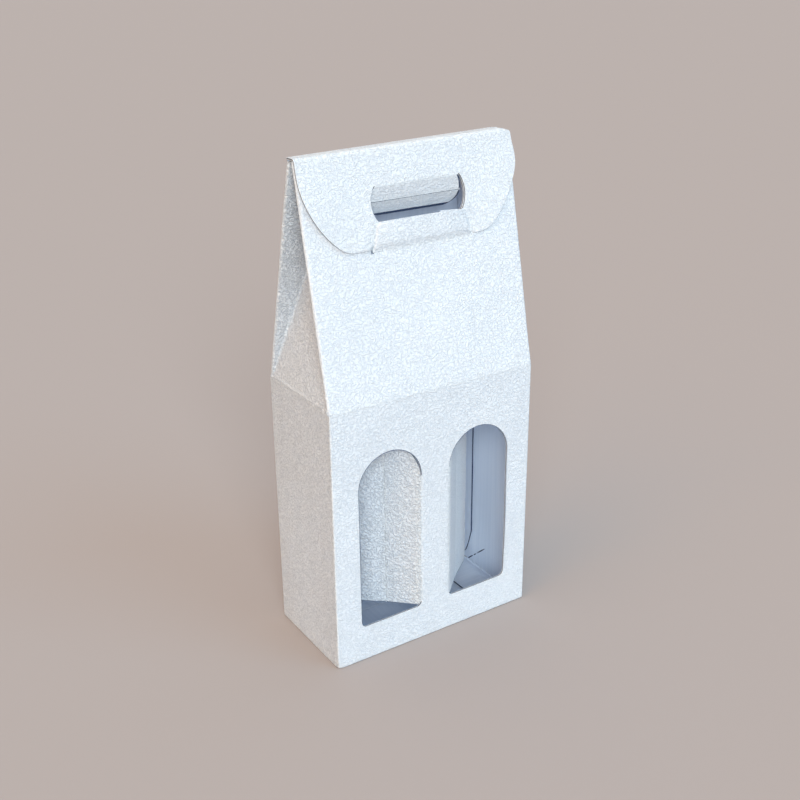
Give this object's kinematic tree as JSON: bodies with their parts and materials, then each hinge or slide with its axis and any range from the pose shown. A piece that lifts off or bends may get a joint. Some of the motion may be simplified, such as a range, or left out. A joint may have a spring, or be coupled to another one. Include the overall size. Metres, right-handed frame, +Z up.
{
  "type": "bottle gift box",
  "caption": "White embossed cardboard carrier for wine bottles: arched windows with folded-in flaps, gabled gusseted top, handle hole with folded tab, and a closing flap held by a tongue.",
  "frame": {"origin": "middle of the base's underside, where the box stands", "axes": "+Z up, +X to the right as seen from the front, +Y from the front with the windows towards the back"},
  "size_m": [0.18, 0.09, 0.385],
  "materials": {
    "embossed_board": "white, embossed with a fine leather grain, satin",
    "plain_board": "white inner face, smooth, matt"
  },
  "bodies": {
    "carton": {"front_panel": "embossed_board", "back_panel": "embossed_board", "left_side_panel": "embossed_board", "right_side_panel": "embossed_board", "front_gable": "embossed_board", "back_gable": "embossed_board", "left_gusset": "embossed_board", "left_gusset_front_web": "embossed_board", "left_gusset_back_web": "embossed_board", "right_gusset": "embossed_board", "right_gusset_front_web": "embossed_board", "right_gusset_back_web": "embossed_board", "front_bottom_flap": "plain_board", "back_bottom_flap": "plain_board", "left_bottom_flap": "plain_board", "right_bottom_flap": "plain_board", "glue_flap": "plain_board"},
    "ridge": {"ridge_strip": "embossed_board"},
    "flap": {"closing_flap": "embossed_board"},
    "tab_upper": {"handle_tab_upper": "embossed_board"},
    "tab_lower": {"handle_tab_lower": "embossed_board"},
    "tongue": {"lock_tongue": "embossed_board"},
    "left_flap_inner": {"left_window_flap_inner": "embossed_board"},
    "left_flap_outer": {"left_window_flap_outer": "embossed_board"},
    "right_flap_inner": {"right_window_flap_inner": "embossed_board"},
    "right_flap_outer": {"right_window_flap_outer": "embossed_board"}
  },
  "joints": [
    {"name": "ridge_fold", "type": "hinge", "parent": "carton", "child": "ridge", "pos_m": [0, 0, 0.385], "axis": [-1, 0, 0], "range_deg": [0, 90]},
    {"name": "closing_flap_fold", "type": "hinge", "parent": "ridge", "child": "flap", "pos_m": [0, -0.01, 0.385], "axis": [-1, 0, 0], "range_deg": [0, 170]},
    {"name": "handle_tab_fold", "type": "hinge", "parent": "flap", "child": "tab_upper", "pos_m": [0, -0.01395, 0.35926], "axis": [1, 0, 0], "range_deg": [-25, 30]},
    {"name": "handle_tab_crease", "type": "hinge", "parent": "tab_upper", "child": "tab_lower", "pos_m": [0, -0.0121, 0.34788], "axis": [1, 0, 0], "range_deg": [-15, 20]},
    {"name": "lock_tongue_fold", "type": "hinge", "parent": "carton", "child": "tongue", "pos_m": [0, -0.02302, 0.31523], "axis": [1, 0, 0], "range_deg": [0, 85]},
    {"name": "left_window_flap_fold", "type": "hinge", "parent": "carton", "child": "left_flap_inner", "pos_m": [-0.013, -0.0435, 0.101], "axis": [0, 0, -1], "range_deg": [-44, 46]},
    {"name": "left_window_flap_crease", "type": "hinge", "parent": "left_flap_inner", "child": "left_flap_outer", "pos_m": [-0.0333, -0.02494, 0.101], "axis": [0, 0, -1], "range_deg": [-40, 30]},
    {"name": "right_window_flap_fold", "type": "hinge", "parent": "carton", "child": "right_flap_inner", "pos_m": [0.013, -0.0435, 0.101], "axis": [0, 0, 1], "range_deg": [-44, 46]},
    {"name": "right_window_flap_crease", "type": "hinge", "parent": "right_flap_inner", "child": "right_flap_outer", "pos_m": [0.0333, -0.02494, 0.101], "axis": [0, 0, 1], "range_deg": [-40, 30]}
  ]
}
